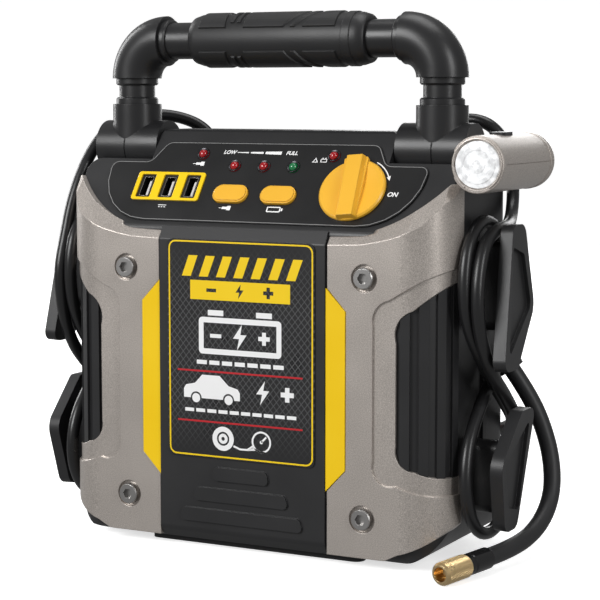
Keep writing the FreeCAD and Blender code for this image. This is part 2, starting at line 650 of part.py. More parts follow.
# ---------------------------------------------------------------- work lamp
def lamp():
    """The torch on the right shoulder: turns about a side hub."""
    radius = cell("lamp_dia") / 2
    x = cell("lamp_axis_half")
    z = cell("lamp_height")
    front = cell("lamp_front")
    rear = cell("lamp_rear")
    lens = cell("lamp_lens_dia") / 2
    long = front + rear
    outline = [(0, 3), (lens + 0.3, 3), (lens + 0.3, 0), (radius - 0.5, 0), (radius, 1),
               (radius, long - 9), (0.94 * radius, long - 3.4, 0.7 * radius, long - 0.6),
               (0.4 * radius, long), (0, long)]
    shell = spin("lamp_turned", outline, place(x, -front, z, (1, 0, 0), -90))
    boss = rod("lamp_boss", 11, 10, (cell("body_half") + 2.8, 1.5, z), (1, 0, 0))
    face = box("lamp_flat", (x - radius - 5, -60, z - 40), (cell("body_half") + 4.1, 60, z + 40))
    solid = fuse("lamp_solid", [cut("lamp_sided", shell, [face]), boss])
    seam = box("lamp_seam", (x + radius - 0.5, -front + 4, z - 0.25),
               (x + radius + 5, rear + 5, z + 0.25))
    seat = pad("lamp_seat", "XY_Plane", [rectangle(10.6, 20.6, 5.2, x, -6)], 20, z + radius - 4.2)
    bore = rod("lamp_bore", 4.2, 5.0, (cell("body_half"), 1.5, z), (1, 0, 0))
    node("lamp_body", cut("lamp_body", solid, [seam, seat, bore]))
    outline = [(0, -0.8), (0.8 * lens, -0.2, lens, 0.4), (lens, 2.9), (0, 2.9)]
    node("lamp_lens", spin("lamp_lens", outline, place(x, -front, z, (1, 0, 0), -90)))
    button = pad("lamp_button", "XY_Plane", [rectangle(10, 20, 4.9, x, -6)], 3.6,
                 z + radius - 2.3)
    node("lamp_button", button)
    hub = rod("lamp_hub_disc", 12.5, 2.5, (cell("body_half"), 1.5, z), (1, 0, 0))
    pin = rod("lamp_pin", 3.9, 4.6, (cell("body_half"), 1.5, z), (1, 0, 0))
    node("lamp_hub", fuse("lamp_hub", [hub, pin]))


# ---------------------------------------------------------------- cords
# Each jumper cable leaves the rear slope, comes down in front of the upper stem and is wound
# in a figure of eight over both stems. The right one passes behind the lamp on its way.
# Both are written for the right-hand side; the left one is mirrored.
HEADS = {
    "right": [(74, 50, 241), (80, 52, 254), (91, 53, 265), (105, 54, 269.5), (119, 55, 265.5),
              (128, 57, 254), (132, 58, 239), (134, 55.5, 224), (137, 46, 212), (141, 32, 206),
              (145, 17, 204.5), (147.5, 2, 204.5), (147.5, -13, 202.5)],
    "left": [(74, 50, 241), (81, 53, 253), (91, 53, 263), (105, 48, 269), (119, 38, 271),
             (131, 24, 268), (139, 8, 260), (143, -6, 245), (145, -17, 227), (146.5, -24, 210)],
}
WINDING = [
    (147.5, -28, 194),
    (147.5, -37, 170), (148, -33, 143), (150, -20, 120), (152, 0, 103), (150.5, 21, 87),
    (147.5, 34, 65), (145.5, 31, 38), (144, 9, 18), (142.5, -18, 19), (141, -35, 42),
    (140, -33, 70), (139.2, -15, 92), (139.2, 6, 109), (139.2, 27, 127), (139.2, 37, 151),
    (139.2, 35, 178), (139.2, 17, 203), (139.2, -8, 211), (139.2, -29, 199), (139.2, -37, 176),
    (140, -34, 150), (142.5, -19, 128), (143.5, 1, 110), (142, 20, 98), (139.5, 36, 89),
    (137.5, 49, 81.5), (132.5, 61.5, 74.5), (123, 70.5, 69.5), (112, 74, 65.5), (100, 74, 65.5),
]
# The air hose leaves the right flank, hangs in a bow and lies forward on the ground.
HOSE_ROUTE = [
    (137, 49, 112), (147, 52, 97), (156, 54, 78), (163, 53, 56), (167, 44, 35),
    (166, 25, 19), (160, 0, 10.2), (152.6, -28.4, 9.1),
]


def cord(label, route, diameter, side=1):
    """A tube along straight runs joined by tangent arcs; prints its tightest radii."""
    points = [V(side * x, y, z) for x, y, z in route]
    edges = []
    here = points[0]
    length = 0.0
    radii = []
    for index in range(1, len(points) - 1):
        corner = points[index]
        before = corner - points[index - 1]
        after = points[index + 1] - corner
        turn = before.getAngle(after)
        reach = 0.45 * min(before.Length, after.Length)
        radius = reach / math.tan(turn / 2)
        radii.append(radius)
        start = corner - before.normalize() * reach
        end = corner + after.normalize() * reach
        inward = (after - before).normalize()
        middle = corner + inward * (radius / math.cos(turn / 2) - radius)
        edges.append(Part.LineSegment(here, start).toShape())
        edges.append(Part.Arc(start, middle, end).toShape())
        here = end
    edges.append(Part.LineSegment(here, points[-1]).toShape())
    path = Part.Wire(edges)
    length = path.Length
    lead = (points[1] - points[0]).normalize()
    ring = Part.Wire(Part.Circle(points[0], lead, diameter / 2).toShape())
    tube = path.makePipeShell([ring], True, False)
    section = math.pi * diameter ** 2 / 4
    print(label, "length %.0f" % length, "volume ratio %.4f" % (tube.Volume / (section * length)),
          "radii", " ".join("%.0f" % radius for radius in radii))
    piece = doc.addObject("Part::Feature", label)
    piece.Shape = tube
    node(label, piece)


def hose_fittings():
    """The ferrule and the screw-on air chuck at the end of the hose."""
    end = V(*HOSE_ROUTE[-1])
    lead = (end - V(*HOSE_ROUTE[-2])).normalize()
    turn = FreeCAD.Rotation(V(0, 0, 1), lead)
    chuck = cell("chuck_dia") / 2
    outline = [(0, 0), (5.8, 0), (6.6, 1.2), (6.6, 17), (6.2, 18), (6.6, 19), (6.6, 22), (0, 22)]
    node("hose_ferrule", spin("hose_ferrule", outline, FreeCAD.Placement(end, turn)))
    long = cell("chuck_long")
    outline = [(0, 0), (chuck - 0.8, 0), (chuck, 0.8), (chuck, long - 1.5), (chuck - 1.2, long),
               (4.4, long), (4.4, long - 9), (1.6, long - 9), (1.6, long - 5), (0, long - 5)]
    node("air_chuck", spin("air_chuck", outline, FreeCAD.Placement(end + lead * 22, turn)))


# ---------------------------------------------------------------- battery clamps
def clamp_arm(label, upper):
    """One arm of a clamp about its pivot: jaw inwards, handle outwards."""
    wide = cell("clamp_wide")
    deep = cell("clamp_depth")
    sign = 1 if upper else -1
    side = [(-37, 2.8, 0), (-37, 6, 2), (-30, 10, 4), (-10, 15.5, 5), (12, 15.5, 5), (48, 22, 3),
            (48, 15, 3), (12, 8.7, 4), (-9, 8.7, 3), (-24, 4.6, 2), (-27, 2.8, 0)]
    outline = rounded([(u, sign * v, radius) for u, v, radius in side])
    arm = pad(label + "_arm", "XZ_Plane", [outline], wide, -deep - wide / 2)
    teeth = []
    for step in range(4):
        u = -35.8 + 2.4 * step
        tooth = [(u, sign * 2.6), (u + 1.6, sign * 2.6), (u + 0.8, sign * 4.0)]
        teeth.append(pad("%s_notch_%d" % (label, step), "XZ_Plane", [tooth], 30, -deep - 15))
    notched = cut(label + "_notched", arm, teeth)
    ear = "circle", 0, 0, 7.2
    neck = [(-6, 0), (6, 0), (6, sign * 12), (-6, sign * 12)]
    spans = [(-4.4, 4.4)] if upper else [(-7, -4.8), (4.8, 7)]
    ears = []
    for index, (low, high) in enumerate(spans):
        for part, outline in (("eye", ear), ("neck", neck)):
            ears.append(pad("%s_%s_%d" % (label, part, index), "XZ_Plane", [outline], high - low,
                            -deep - high))
    pieces = [notched] + ears
    if not upper:
        pieces.append(rod(label + "_relief", 5.2, 14, (38, deep, -18.5), (1, 0, 0)))
    solid = fuse(label + "_solid", pieces)
    bore = rod(label + "_bore", 2.7 if upper else 2.4, 40, (0, deep - 20, 0), (0, 1, 0))
    return cut(label, solid, [bore])


def clamps():
    """Two clamps parked on the tabs of the rear shell, with their pivot pins."""
    deep = cell("clamp_depth")
    pivot = place(cell("clamp_pivot_half"), 0, cell("clamp_height"))
    for word in ("lower", "upper"):
        label = "clamp_%s_arm_right" % word
        arm = node(label, clamp_arm(label, word == "upper"), pivot)
        node(label.replace("right", "left"), mirrored(label.replace("right", "left"), arm))
    outline = [(0, -8.6), (4, -8.6), (4, -7.2), (2.4, -7.2), (2.4, 7.2), (4, 7.2), (4, 8.6), (0, 8.6)]
    at = place(cell("clamp_pivot_half"), deep, cell("clamp_height"), (1, 0, 0), -90)
    pin = node("clamp_pin_right", spin("clamp_pin_right", outline, at))
    node("clamp_pin_left", mirrored("clamp_pin_left", pin))


# ---------------------------------------------------------------- rear and inside
def rear_controls():
    """Pressure gauge, compressor switch and 12-volt outlet with its cap."""
    rear = cell("body_rear")
    radius = cell("gauge_dia") / 2
    height = cell("gauge_height")
    facing = place(0, rear, height, (1, 0, 0), -90)
    outline = [(0, -10), (radius - 2.2, -10), (radius - 2.2, 0), (radius, 0), (radius, 4),
               (radius - 1.5, 5.2), (radius - 2.6, 4), (radius - 2.6, 0.6), (0, 0.6)]
    node("pressure_gauge", spin("pressure_gauge", outline, facing))
    hand = pad("needle_hand", "XY_Plane", [[(-1.2, -5), (1.2, -5), (0.3, 16), (-0.3, 16)]], 0.6, 1.2)
    boss = rod("needle_boss", 2.4, 1.6, (0, 0, 0.9))
    needle = fuse("gauge_needle", [hand, boss])
    lean = FreeCAD.Rotation(V(1, 0, 0), -90).multiply(FreeCAD.Rotation(V(0, 0, 1), 225))
    node("gauge_needle", needle, FreeCAD.Placement(V(0, rear, height), lean))
    side = [(rear - 7, -11.4), (rear + 1.2, -11.4), (rear + 0.4, 0, rear + 3.6, 11.4),
            (rear - 7, 11.4)]
    rocker = pad("rocker_paddle", "YZ_Plane", [side], 14.4, -7.2)
    axle = rod("rocker_axle", 2.0, 15.6, (-7.8, rear - 3, 0), (1, 0, 0))
    node("compressor_switch", fuse("compressor_switch", [rocker, axle]), place(-54, 0, 159))
    facing = place(54, rear, 158, (1, 0, 0), -90)
    outline = [(10.4, -34), (12.4, -34), (12.4, 0), (15, 0), (15, 1.6), (14.2, 2.2), (10.4, 2.2)]
    sleeve = spin("outlet_sleeve", outline, facing)
    floor = rod("outlet_floor", 12.4, 2, (54, rear - 36, 158), (0, 1, 0))
    node("outlet_socket", fuse("outlet_socket", [sleeve, floor]))
    lid = rod("outlet_lid", 14.6, 2.6, (54, rear + 2.5, 158), (0, 1, 0))
    lug = box("outlet_lug", (49, rear + 2.5, 171), (59, rear + 5.1, 180))
    barrel = rod("outlet_barrel", 2.4, 10, (49, rear + 3.0, 180), (1, 0, 0))
    tip = box("outlet_tip", (51, rear + 2.5, 141.4), (57, rear + 5.1, 146))
    node("outlet_cap", fuse("outlet_cap", [lid, lug, barrel, tip]))


def insides():
    """The sealed battery and the compressor, standing inside the shells."""
    node("battery", pad("battery", "XY_Plane", [rectangle(151, 65, 3, 0, 4)], 94, 8))
    motor = rod("motor", 17, 58, (-70, 10, 140), (1, 0, 0))
    head = box("pump_head", (-14, -4, 126), (14, 24, 150))
    barrel = rod("pump_barrel", 11, 40, (0, 10, 148))
    foot = box("pump_foot", (-60, -6, 103), (10, 26, 127))
    node("compressor", fuse("compressor", [motor, head, barrel, foot]))


def feet():
    """Rubber rails under the base, front and rear."""
    for word, depth in (("front", -36), ("rear", 44)):
        outline = rectangle(150, 12, 5.5, 0, depth)
        node("foot_" + word, pad("foot_" + word, "XY_Plane", [outline], "dims.body_base", 0))


# ---------------------------------------------------------------- assembly
bracket()
shells()
centre_panel()
screws()
accents()
fascia()
usb_group()
lights_and_buttons()
knob()
handle()
cleat("cleat_upper_right", cell("cleat_upper_height"), 86.0, False)
cleat("cleat_lower_right", cell("cleat_lower_height"), 72.0, True)
lamp()
for hand, mirror_side in (("right", 1), ("left", -1)):
    cord("jumper_cable_" + hand, HEADS[hand] + WINDING, cell("cable_dia"), mirror_side)
cord("air_hose", HOSE_ROUTE, cell("hose_dia"))
hose_fittings()
clamps()
rear_controls()
insides()
feet()
doc.recompute()

for thing in doc.Objects:
    if "Invalid" in thing.State or "Error" in thing.State:
        raise RuntimeError("failed: %s %s" % (thing.Label, thing.State))
os.makedirs("parts", exist_ok=True)
shift = place(y=cell("origin_shift"))
for name, thing in nodes.items():
    shape = thing.Shape.transformed(shift.toMatrix())
    if shape.isNull() or not shape.isValid():
        raise RuntimeError("bad shape: " + name)
    print("%-24s solids %d volume %.0f" % (name, len(shape.Solids), shape.Volume))
    shape.exportStep("parts/%s.step" % name)
print(len(nodes), "sub-parts")
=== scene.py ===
"""Looks of the jump starter pack: materials, printed marks, cords and detail on the CAD frame."""
import math

import bmesh
import bpy
from mathutils import Matrix, Vector


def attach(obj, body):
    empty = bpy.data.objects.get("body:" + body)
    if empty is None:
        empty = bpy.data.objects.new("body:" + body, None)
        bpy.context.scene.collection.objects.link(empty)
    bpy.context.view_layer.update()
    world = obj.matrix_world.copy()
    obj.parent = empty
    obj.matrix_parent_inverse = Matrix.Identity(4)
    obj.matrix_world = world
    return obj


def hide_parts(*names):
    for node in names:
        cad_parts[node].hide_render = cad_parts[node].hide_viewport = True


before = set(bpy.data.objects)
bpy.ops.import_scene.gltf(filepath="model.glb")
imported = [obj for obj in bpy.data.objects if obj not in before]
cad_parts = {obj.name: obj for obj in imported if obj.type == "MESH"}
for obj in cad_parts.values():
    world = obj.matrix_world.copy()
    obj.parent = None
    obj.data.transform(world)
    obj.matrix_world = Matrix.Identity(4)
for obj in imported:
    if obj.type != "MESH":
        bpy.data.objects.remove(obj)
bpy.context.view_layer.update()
scene = bpy.context.scene
MM = 0.001

# ---------------------------------------------------------------- camera, light and floor
AZIMUTH = math.radians(27.5)
ELEVATION = math.radians(6.25)
DISTANCE = 1.2
TARGET = Vector((0.01757, -0.0235, 0.1556))
SENSOR_MM = 36.0
FOCAL_SHARE = 3.175          # focal length over the sensor's width
WORLD_STRENGTH = 0.28
LIGHT_AIM = Vector((0, 0, 0.15))
LIGHTS = (                   # name, place, size (m) and power (W)
    ("key", (-0.8, -1.7, 1.05), (0.9, 0.9), 28),
    ("top", (0.1, 0.2, 1.9), (1.3, 0.8), 11),
    ("side", (1.8, -0.7, 0.9), (0.35, 1.3), 13),
    ("left_edge", (-1.7, 0.4, 0.8), (0.35, 1.3), 12),
    ("behind", (-0.4, 2.2, 0.65), (1.2, 0.8), 11),
)
FLOOR_RADII = (600.0, 1500.0)              # mm, the flat rings inside the sweep
SWEEP_FLAT, SWEEP_BEND, SWEEP_TOP = 2500.0, 1500.0, 3400.0     # mm
SWEEP_STEPS, SWEEP_SIDES = 16, 72


def make_camera():
    back = Vector((math.sin(AZIMUTH) * math.cos(ELEVATION),
                   -math.cos(AZIMUTH) * math.cos(ELEVATION), math.sin(ELEVATION)))
    camera = bpy.data.objects.new("camera", bpy.data.cameras.new("camera"))
    scene.collection.objects.link(camera)
    camera.location = TARGET + back * DISTANCE
    camera.rotation_mode = "QUATERNION"
    camera.rotation_quaternion = (-back).to_track_quat("-Z", "Y")
    camera.data.sensor_width = SENSOR_MM
    camera.data.lens = SENSOR_MM * FOCAL_SHARE
    camera.data.clip_start = 0.01
    camera.data.clip_end = 100.0
    scene.camera = camera


def area_light(name, place, size, watts):
    lamp = bpy.data.lights.new(name, "AREA")
    lamp.shape = "RECTANGLE"
    lamp.size, lamp.size_y = size
    lamp.energy = watts
    thing = bpy.data.objects.new(name, lamp)
    scene.collection.objects.link(thing)
    thing.location = place
    thing.rotation_mode = "QUATERNION"
    thing.rotation_quaternion = (Vector(place) - LIGHT_AIM).to_track_quat("Z", "Y")


def make_studio():
    """A white world, the lights, and a round floor that bends up into a wall."""
    scene.view_settings.view_transform = "Standard"
    world = bpy.data.worlds.new("studio")
    world.use_nodes = True
    background = world.node_tree.nodes["Background"]
    background.inputs["Color"].default_value = (1, 1, 1, 1)
    background.inputs["Strength"].default_value = WORLD_STRENGTH
    scene.world = world
    for light in LIGHTS:
        area_light(*light)
    profile = [(radius, 0.0) for radius in FLOOR_RADII]
    for step in range(SWEEP_STEPS + 1):
        turn = math.pi / 2 * step / SWEEP_STEPS
        profile.append((SWEEP_FLAT + SWEEP_BEND * math.sin(turn),
                        SWEEP_BEND - SWEEP_BEND * math.cos(turn)))
    profile.append((SWEEP_FLAT + SWEEP_BEND, SWEEP_TOP))
    sheet = bmesh.new()
    rings = [ring(sheet, Matrix(), radius, height, SWEEP_SIDES) for radius, height in profile]
    sheet.faces.new(rings[0])
    for low, high in zip(rings, rings[1:]):
        skin(sheet, low, high)
    floor = mesh_object("floor", sheet, paint_floor(), None)
    floor.visible_diffuse = False
    floor.visible_glossy = False


# ---------------------------------------------------------------- materials
class Shade:
    """A node material under construction, on a Principled surface."""

    def __init__(self, name, colour, rough, metal=0.0):
        self.material = bpy.data.materials.new(name)
        self.material.use_nodes = True
        self.tree = self.material.node_tree
        self.surface = self.tree.nodes["Principled BSDF"]
        self.colour = (*colour, 1.0)
        self.rough = rough
        self.set("Metallic", metal)
        self.set("Base Color", self.colour)
        self.set("Roughness", rough)
        self.where = self.add("ShaderNodeTexCoord").outputs["Object"]

    def add(self, kind, **fields):
        made = self.tree.nodes.new(kind)
        for word, value in fields.items():
            setattr(made, word, value)
        return made

    def set(self, socket, value):
        self.surface.inputs[socket].default_value = value

    def link(self, source, target):
        self.tree.links.new(source, target)

    def math(self, operation, first, second=None):
        made = self.add("ShaderNodeMath", operation=operation)
        for socket, value in zip(made.inputs, (first, second)):
            if value is None:
                continue
            if isinstance(value, (int, float)):
                socket.default_value = value
            else:
                self.link(value, socket)
        return made.outputs[0]

    def noise(self, scale, detail=2.0):
        made = self.add("ShaderNodeTexNoise")
        made.inputs["Scale"].default_value = scale
        made.inputs["Detail"].default_value = detail
        self.link(self.where, made.inputs["Vector"])
        return made.outputs["Fac"]

    def ramp(self, value, low, high, out_low=0.0, out_high=1.0):
        made = self.add("ShaderNodeMapRange")
        for socket, number in zip(list(made.inputs)[1:5], (low, high, out_low, out_high)):
            socket.default_value = number
        self.link(value, made.inputs[0])
        return made.outputs[0]

    def mix(self, factor, first, second):
        made = self.add("ShaderNodeMix", data_type="RGBA")
        for socket, value in zip((made.inputs[0], made.inputs[6], made.inputs[7]),
                                 (factor, first, second)):
            if isinstance(value, (tuple, float)):
                socket.default_value = value
            else:
                self.link(value, socket)
        return made.outputs[2]

    def axes(self):
        made = self.add("ShaderNodeSeparateXYZ")
        self.link(self.where, made.inputs[0])
        return made.outputs

    def finish(self, grain=1400.0, depth=0.03, blotch=0.06, edge_highlight=0.12, soft=0.0005):
        """Add mottling, painted edge highlights, rounded edges, moulded grain; return the material.
        """
        wide = self.noise(28.0, 3.0)
        tint = tuple(min(1.0, value * (1 + blotch)) for value in self.colour[:3]) + (1.0,)
        shade = tuple(value * (1 - blotch) for value in self.colour[:3]) + (1.0,)
        colour = self.surface.inputs["Base Color"].links
        base = colour[0].from_socket if colour else self.mix(wide, shade, tint)
        edge = self.add("ShaderNodeBevel", samples=4)
        edge.inputs["Radius"].default_value = soft
        # Painted highlight: rounded edges get a paler copy of the colour, the same whatever the
        # lamps do.
        if edge_highlight:
            flat = self.add("ShaderNodeNewGeometry").outputs["Normal"]
            dot = self.add("ShaderNodeVectorMath", operation="DOT_PRODUCT")
            self.link(edge.outputs[0], dot.inputs[0])
            self.link(flat, dot.inputs[1])
            highlit_edges = self.ramp(dot.outputs["Value"], 0.99, 0.8, 0.0, edge_highlight)
            light = tuple(min(1.0, value * 1.6 + 0.05) for value in self.colour[:3]) + (1.0,)
            base = self.mix(highlit_edges, base, light)
        self.link(base, self.surface.inputs["Base Color"])
        self.link(self.ramp(wide, 0.3, 0.7, self.rough - 0.04, self.rough + 0.05),
                  self.surface.inputs["Roughness"])
        bump = self.add("ShaderNodeBump")
        bump.inputs["Strength"].default_value = 1.0
        bump.inputs["Distance"].default_value = MM * depth
        self.link(self.noise(grain), bump.inputs["Height"])
        self.link(edge.outputs[0], bump.inputs["Normal"])
        self.link(bump.outputs[0], self.surface.inputs["Normal"])
        return self.material


def paint_floor():
    shade = Shade("studio_floor", (0.9, 0.9, 0.9), 0.8)
    shade.set("Emission Color", (1.0, 1.0, 1.0, 1.0))
    shade.set("Emission Strength", 0.66)
    return shade.finish(grain=40, depth=0.02, blotch=0.004, edge_highlight=0)


def paint_black(name, tone=0.018, rough=0.42, grain=1500.0, depth=0.03, soft=0.0005):
    shade = Shade(name, (tone, tone, tone * 1.06), rough)
    return shade.finish(grain=grain, depth=depth, blotch=0.12, edge_highlight=0.10, soft=soft)


def paint_silver():
    """Champagne metallic paint: fine flake, a little mottle and orange peel."""
    shade = Shade("champagne_paint", (0.52, 0.475, 0.435), 0.36, 0.6)
    flake = shade.noise(1900.0, 4.0)
    mix = shade.mix(shade.ramp(flake, 0.35, 0.68),
                    (0.37, 0.334, 0.303, 1.0), (0.68, 0.62, 0.57, 1.0))
    shade.link(mix, shade.surface.inputs["Base Color"])
    shade.set("Coat Weight", 0.25)
    shade.set("Coat Roughness", 0.25)
    return shade.finish(grain=700.0, depth=0.012, edge_highlight=0.25, soft=0.0007)


def paint_plastic(name, colour, rough=0.34, grain=900.0, depth=0.015, soft=0.0006):
    shade = Shade(name, colour, rough)
    return shade.finish(grain=grain, depth=depth, blotch=0.05, edge_highlight=0.15, soft=soft)


FILM = (0.012, 0.012, 0.013)
NET = (0.10, 0.10, 0.103)
NET_PITCH, NET_SLANT, NET_WIDTH = 235.0, 0.85, 0.065     # lines per m, height share, line share
NET_MIDDLE, NET_HALF = 0.127, 0.066                      # m


def paint_label():
    """Black printed film with a grey diamond net that fades towards the ends."""
    shade = Shade("label_film", FILM, 0.3)
    x, _, z = shade.axes()
    lines = None
    for sign in ("ADD", "SUBTRACT"):
        slant = shade.math(sign, x, shade.math("MULTIPLY", z, NET_SLANT))
        wave = shade.math("FRACT", shade.math("MULTIPLY", slant, NET_PITCH))
        away = shade.math("ABSOLUTE", shade.math("SUBTRACT", wave, 0.5))
        line = shade.math("LESS_THAN", away, NET_WIDTH)
        lines = line if lines is None else shade.math("MAXIMUM", lines, line)
    middle = shade.math("ABSOLUTE", shade.math("SUBTRACT", z, NET_MIDDLE))
    net = shade.math("MULTIPLY", lines, shade.ramp(middle, NET_HALF, 0.03))
    shade.link(shade.mix(net, (*FILM, 1.0), (*NET, 1.0)), shade.surface.inputs["Base Color"])
    shade.set("Coat Weight", 0.3)
    shade.set("Coat Roughness", 0.15)
    return shade.finish(grain=500.0, depth=0.006, edge_highlight=0, soft=0.0003)


def paint_metal(name, colour, rough):
    shade = Shade(name, colour, rough, 1.0)
    return shade.finish(grain=2200.0, depth=0.01, blotch=0.08, edge_highlight=0.2, soft=0.0003)


def paint_led(name, colour):
    """Glossy tinted epoxy, lit a little from inside."""
    shade = Shade(name, colour, 0.08)
    shade.set("Coat Weight", 1.0)
    shade.set("Coat Roughness", 0.04)
    shade.set("Emission Color", (*colour, 1.0))
    shade.set("Emission Strength", 0.07)
    return shade.finish(grain=600.0, depth=0.004, blotch=0.25, edge_highlight=0, soft=0.0002)


def paint_glow():
    """The lit lamp face: moulded clear lens over a white light."""
    shade = Shade("lamp_glow", (0.70, 0.71, 0.72), 0.12)
    shade.set("Emission Color", (1.0, 1.0, 1.0, 1.0))
    lit = shade.ramp(shade.noise(260.0, 2.0), 0.35, 0.7, 0.15, 0.6)
    shade.link(lit, shade.surface.inputs["Emission Strength"])
    shade.set("Coat Weight", 0.5)
    return shade.finish(grain=420.0, depth=0.05, edge_highlight=0, soft=0.0003)


def paint_glass(name):
    shade = Shade(name, (0.98, 0.98, 0.98), 0.04)
    shade.set("Transmission Weight", 1.0)
    shade.set("IOR", 1.45)
    return shade.finish(grain=90.0, depth=0.001, blotch=0.01, edge_highlight=0, soft=0.0002)


# ---------------------------------------------------------------- making pieces
def mesh_object(name, made, material, body, smooth=False):
    bmesh.ops.recalc_face_normals(made, faces=made.faces)
    mesh = bpy.data.meshes.new(name)
    made.to_mesh(mesh)
    made.free()
    mesh.materials.append(material)
    if smooth:
        mesh.shade_smooth()
        mesh.set_sharp_from_angle(angle=math.radians(35))
    thing = bpy.data.objects.new(name, mesh)
    scene.collection.objects.link(thing)
    if body:
        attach(thing, body)
    return thing


def ring(made, at, radius, height, steps):
    """Vertices (mm) round the Z axis of a matrix."""
    turns = [2 * math.pi * step / steps for step in range(steps)]
    return [made.verts.new(at @ Vector((radius * MM * math.cos(turn),
                                        radius * MM * math.sin(turn), height * MM)))
            for turn in turns]


def skin(made, low, high):
    """Faces between two closed rows of vertices; a row may be one vertex repeated."""
    for step, (first, last) in enumerate(zip(low, high)):
        after = (step + 1) % len(low)
        corners = [first, low[after], high[after], last]
        corners = [v for spot, v in enumerate(corners) if v not in corners[:spot]]
        if len(corners) > 2:
            made.faces.new(corners)


def basis(origin, out, up=(0, 0, 1)):
    """A matrix at origin (mm) whose Z is out and whose Y is as near to up as it can be."""
    back = Vector(out).normalized()
    right = Vector(up).cross(back).normalized()
    turned = Matrix((right, back.cross(right), back)).transposed().to_4x4()
    return Matrix.Translation(Vector(origin) * MM) @ turned


NO_RADIUS = 1e-6             # mm, below which a ring is one point on the axis


def lathe(name, outline, at, material, body, steps=48):
    """Turn a (radius, height) outline in mm about the Z axis of a matrix."""
    made = bmesh.new()
    rings = []
    for radius, height in outline:
        if radius < NO_RADIUS:
            rings.append([made.verts.new(at @ Vector((0, 0, height * MM)))] * steps)
        else:
            rings.append(ring(made, at, radius, height, steps))
    hollow = outline[0][0] > NO_RADIUS or outline[-1][0] > NO_RADIUS
    for low, high in zip(rings, rings[1:] + (rings[:1] if hollow else [])):
        skin(made, low, high)
    return mesh_object(name, made, material, body, True)


def arc_points(centre, radius, start, end, steps=24):
    turns = [math.radians(start + (end - start) * step / steps) for step in range(steps + 1)]
    return [(centre[0] + radius * math.cos(turn), centre[1] + radius * math.sin(turn))
            for turn in turns]


def rounded_loop(corners, inset=0.0, steps=6):
    """Corners (u, v, radius) of a convex or concave outline, rounded, moved inwards by inset."""
    count = len(corners)
    area = sum(corners[k - 1][0] * corners[k][1] - corners[k][0] * corners[k - 1][1]
               for k in range(count))
    side = 1 if area > 0 else -1
    points = []
    for spot, (u, v, radius) in enumerate(corners):
        here = Vector((u, v))
        before = (here - Vector(corners[spot - 1][:2])).normalized()
        after = (Vector(corners[(spot + 1) % count][:2]) - here).normalized()
        turn = before.angle_signed(after) * -1
        bend = 1 if turn * side > 0 else -1
        half = (after - before).normalized()
        miss = math.cos(turn / 2)
        reach = max(radius - bend * inset, 0.05)
        corner = here + half * (bend * inset / miss)
        middle = corner + half * (reach / miss)
        first = math.atan2(*reversed(corner + (-before) * reach * math.tan(abs(turn) / 2) - middle))
        for step in range(steps + 1):
            angle = first + turn * step / steps
            points.append((middle.x + reach * math.cos(angle), middle.y + reach * math.sin(angle)))
    return points


def box_loop(low, high, radius=0.0, inset=0.0):
    (u0, v0), (u1, v1) = low, high
    u0, v0, u1, v1 = u0 + inset, v0 + inset, u1 - inset, v1 - inset
    if radius <= inset:
        return [(u0, v0), (u1, v0), (u1, v1), (u0, v1)]
    return rounded_loop([(u0, v0, radius - inset), (u1, v0, radius - inset),
                         (u1, v1, radius - inset), (u0, v1, radius - inset)])


def frame_loops(low, high, radius, width):
    return [box_loop(low, high, radius), box_loop(low, high, radius, width)]


def ring_loops(centre, outer, inner, steps=40):
    return [arc_points(centre, radius, 0, 360, steps)[:-1] for radius in (outer, inner)]


def line_loop(points, width):
    """A stroke of one width along points."""
    left, right = [], []
    for spot, point in enumerate(points):
        here = Vector(point)
        before = Vector(points[max(spot - 1, 0)])
        after = Vector(points[min(spot + 1, len(points) - 1)])
        along = (after - before).normalized()
        aside = Vector((-along.y, along.x)) * width / 2
        left.append(tuple(here + aside))
        right.append(tuple(here - aside))
    return left + right[::-1]


def flatten(name, curve, at, lift, material, body):
    """Turn a filled flat curve into a mesh piece in the XY plane of a matrix, raised by lift mm."""
    drawn = bpy.data.objects.new(name + "_outline", curve)
    scene.collection.objects.link(drawn)
    bpy.context.view_layer.update()
    graph = bpy.context.evaluated_depsgraph_get()
    mesh = bpy.data.meshes.new_from_object(drawn.evaluated_get(graph))
    bpy.data.objects.remove(drawn)
    mesh.transform(at @ Matrix.Translation((0, 0, lift * MM)))
    mesh.materials.clear()
    mesh.materials.append(material)
    thing = bpy.data.objects.new(name, mesh)
    scene.collection.objects.link(thing)
    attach(thing, body)


def flat_art(name, loops, at, thick, material, body="pack"):
    """Printed or inlaid flat shapes: closed loops in mm, in which inner loops are holes."""
    curve = bpy.data.curves.new(name, "CURVE")
    curve.dimensions = "2D"
    curve.fill_mode = "BOTH"
    curve.extrude = thick * MM / 2
    for loop in loops:
        spline = curve.splines.new("POLY")
        spline.points.add(len(loop) - 1)
        for point, (u, v) in zip(spline.points, loop):
            point.co = (u * MM, v * MM, 0, 1)
        spline.use_cyclic_u = True
    flatten(name, curve, at, thick / 2, material, body)


